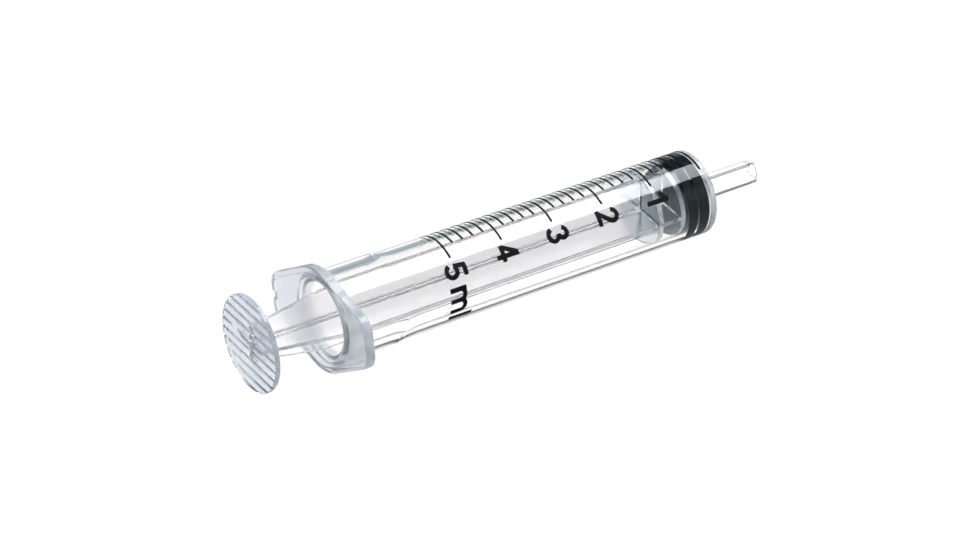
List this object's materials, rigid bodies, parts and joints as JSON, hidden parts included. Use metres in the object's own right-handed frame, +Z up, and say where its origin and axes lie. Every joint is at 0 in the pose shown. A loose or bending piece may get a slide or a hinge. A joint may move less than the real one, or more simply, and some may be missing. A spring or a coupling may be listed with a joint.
{
  "type": "oral syringe",
  "caption": "Clear slip-tip oral syringe: finger flange, cross-finned plunger rod with a ribbed thumb rest, black rubber stopper and a printed volume scale.",
  "frame": {"origin": "bottom centre of the overall box, below the barrel's axis, which lies 8.43 mm above it", "axes": "+X along the barrel towards the nozzle, the finger flange's two wings along Y, +Z up"},
  "size_m": [0.0922, 0.027, 0.0169],
  "materials": {
    "clear_barrel": "gloss",
    "clear_rod": "gloss",
    "stopper_rubber": "satin",
    "scale_ink": "matte"
  },
  "bodies": {
    "barrel": {"barrel": "clear_barrel", "graduation_0_0_ml": "scale_ink", "graduation_0_2_ml": "scale_ink", "graduation_0_4_ml": "scale_ink", "graduation_0_6_ml": "scale_ink", "graduation_0_8_ml": "scale_ink", "graduation_1_0_ml": "scale_ink", "graduation_1_2_ml": "scale_ink", "graduation_1_4_ml": "scale_ink", "graduation_1_6_ml": "scale_ink", "graduation_1_8_ml": "scale_ink", "graduation_2_0_ml": "scale_ink", "graduation_2_2_ml": "scale_ink", "graduation_2_4_ml": "scale_ink", "graduation_2_6_ml": "scale_ink", "graduation_2_8_ml": "scale_ink", "graduation_3_0_ml": "scale_ink", "graduation_3_2_ml": "scale_ink", "graduation_3_4_ml": "scale_ink", "graduation_3_6_ml": "scale_ink", "graduation_3_8_ml": "scale_ink", "graduation_4_0_ml": "scale_ink", "graduation_4_2_ml": "scale_ink", "graduation_4_4_ml": "scale_ink", "graduation_4_6_ml": "scale_ink", "graduation_4_8_ml": "scale_ink", "graduation_5_0_ml": "scale_ink", "numeral_1": "scale_ink", "numeral_2": "scale_ink", "numeral_3": "scale_ink", "numeral_4": "scale_ink", "numeral_5": "scale_ink", "unit_letter_m": "scale_ink", "unit_letter_l": "scale_ink"},
    "stopper": {"stopper": "stopper_rubber"},
    "plunger": {"plunger_rod": "clear_rod"}
  },
  "joints": [
    {"name": "plunger_slide", "type": "slide", "parent": "barrel", "child": "stopper", "axis": [-1, 0, 0], "range_m": [0, 0.052]},
    {"name": "plunger_spin", "type": "hinge", "parent": "stopper", "child": "plunger", "pos_m": [-0.0461, 0, 0.00843], "axis": [1, 0, 0], "continuous": true}
  ]
}
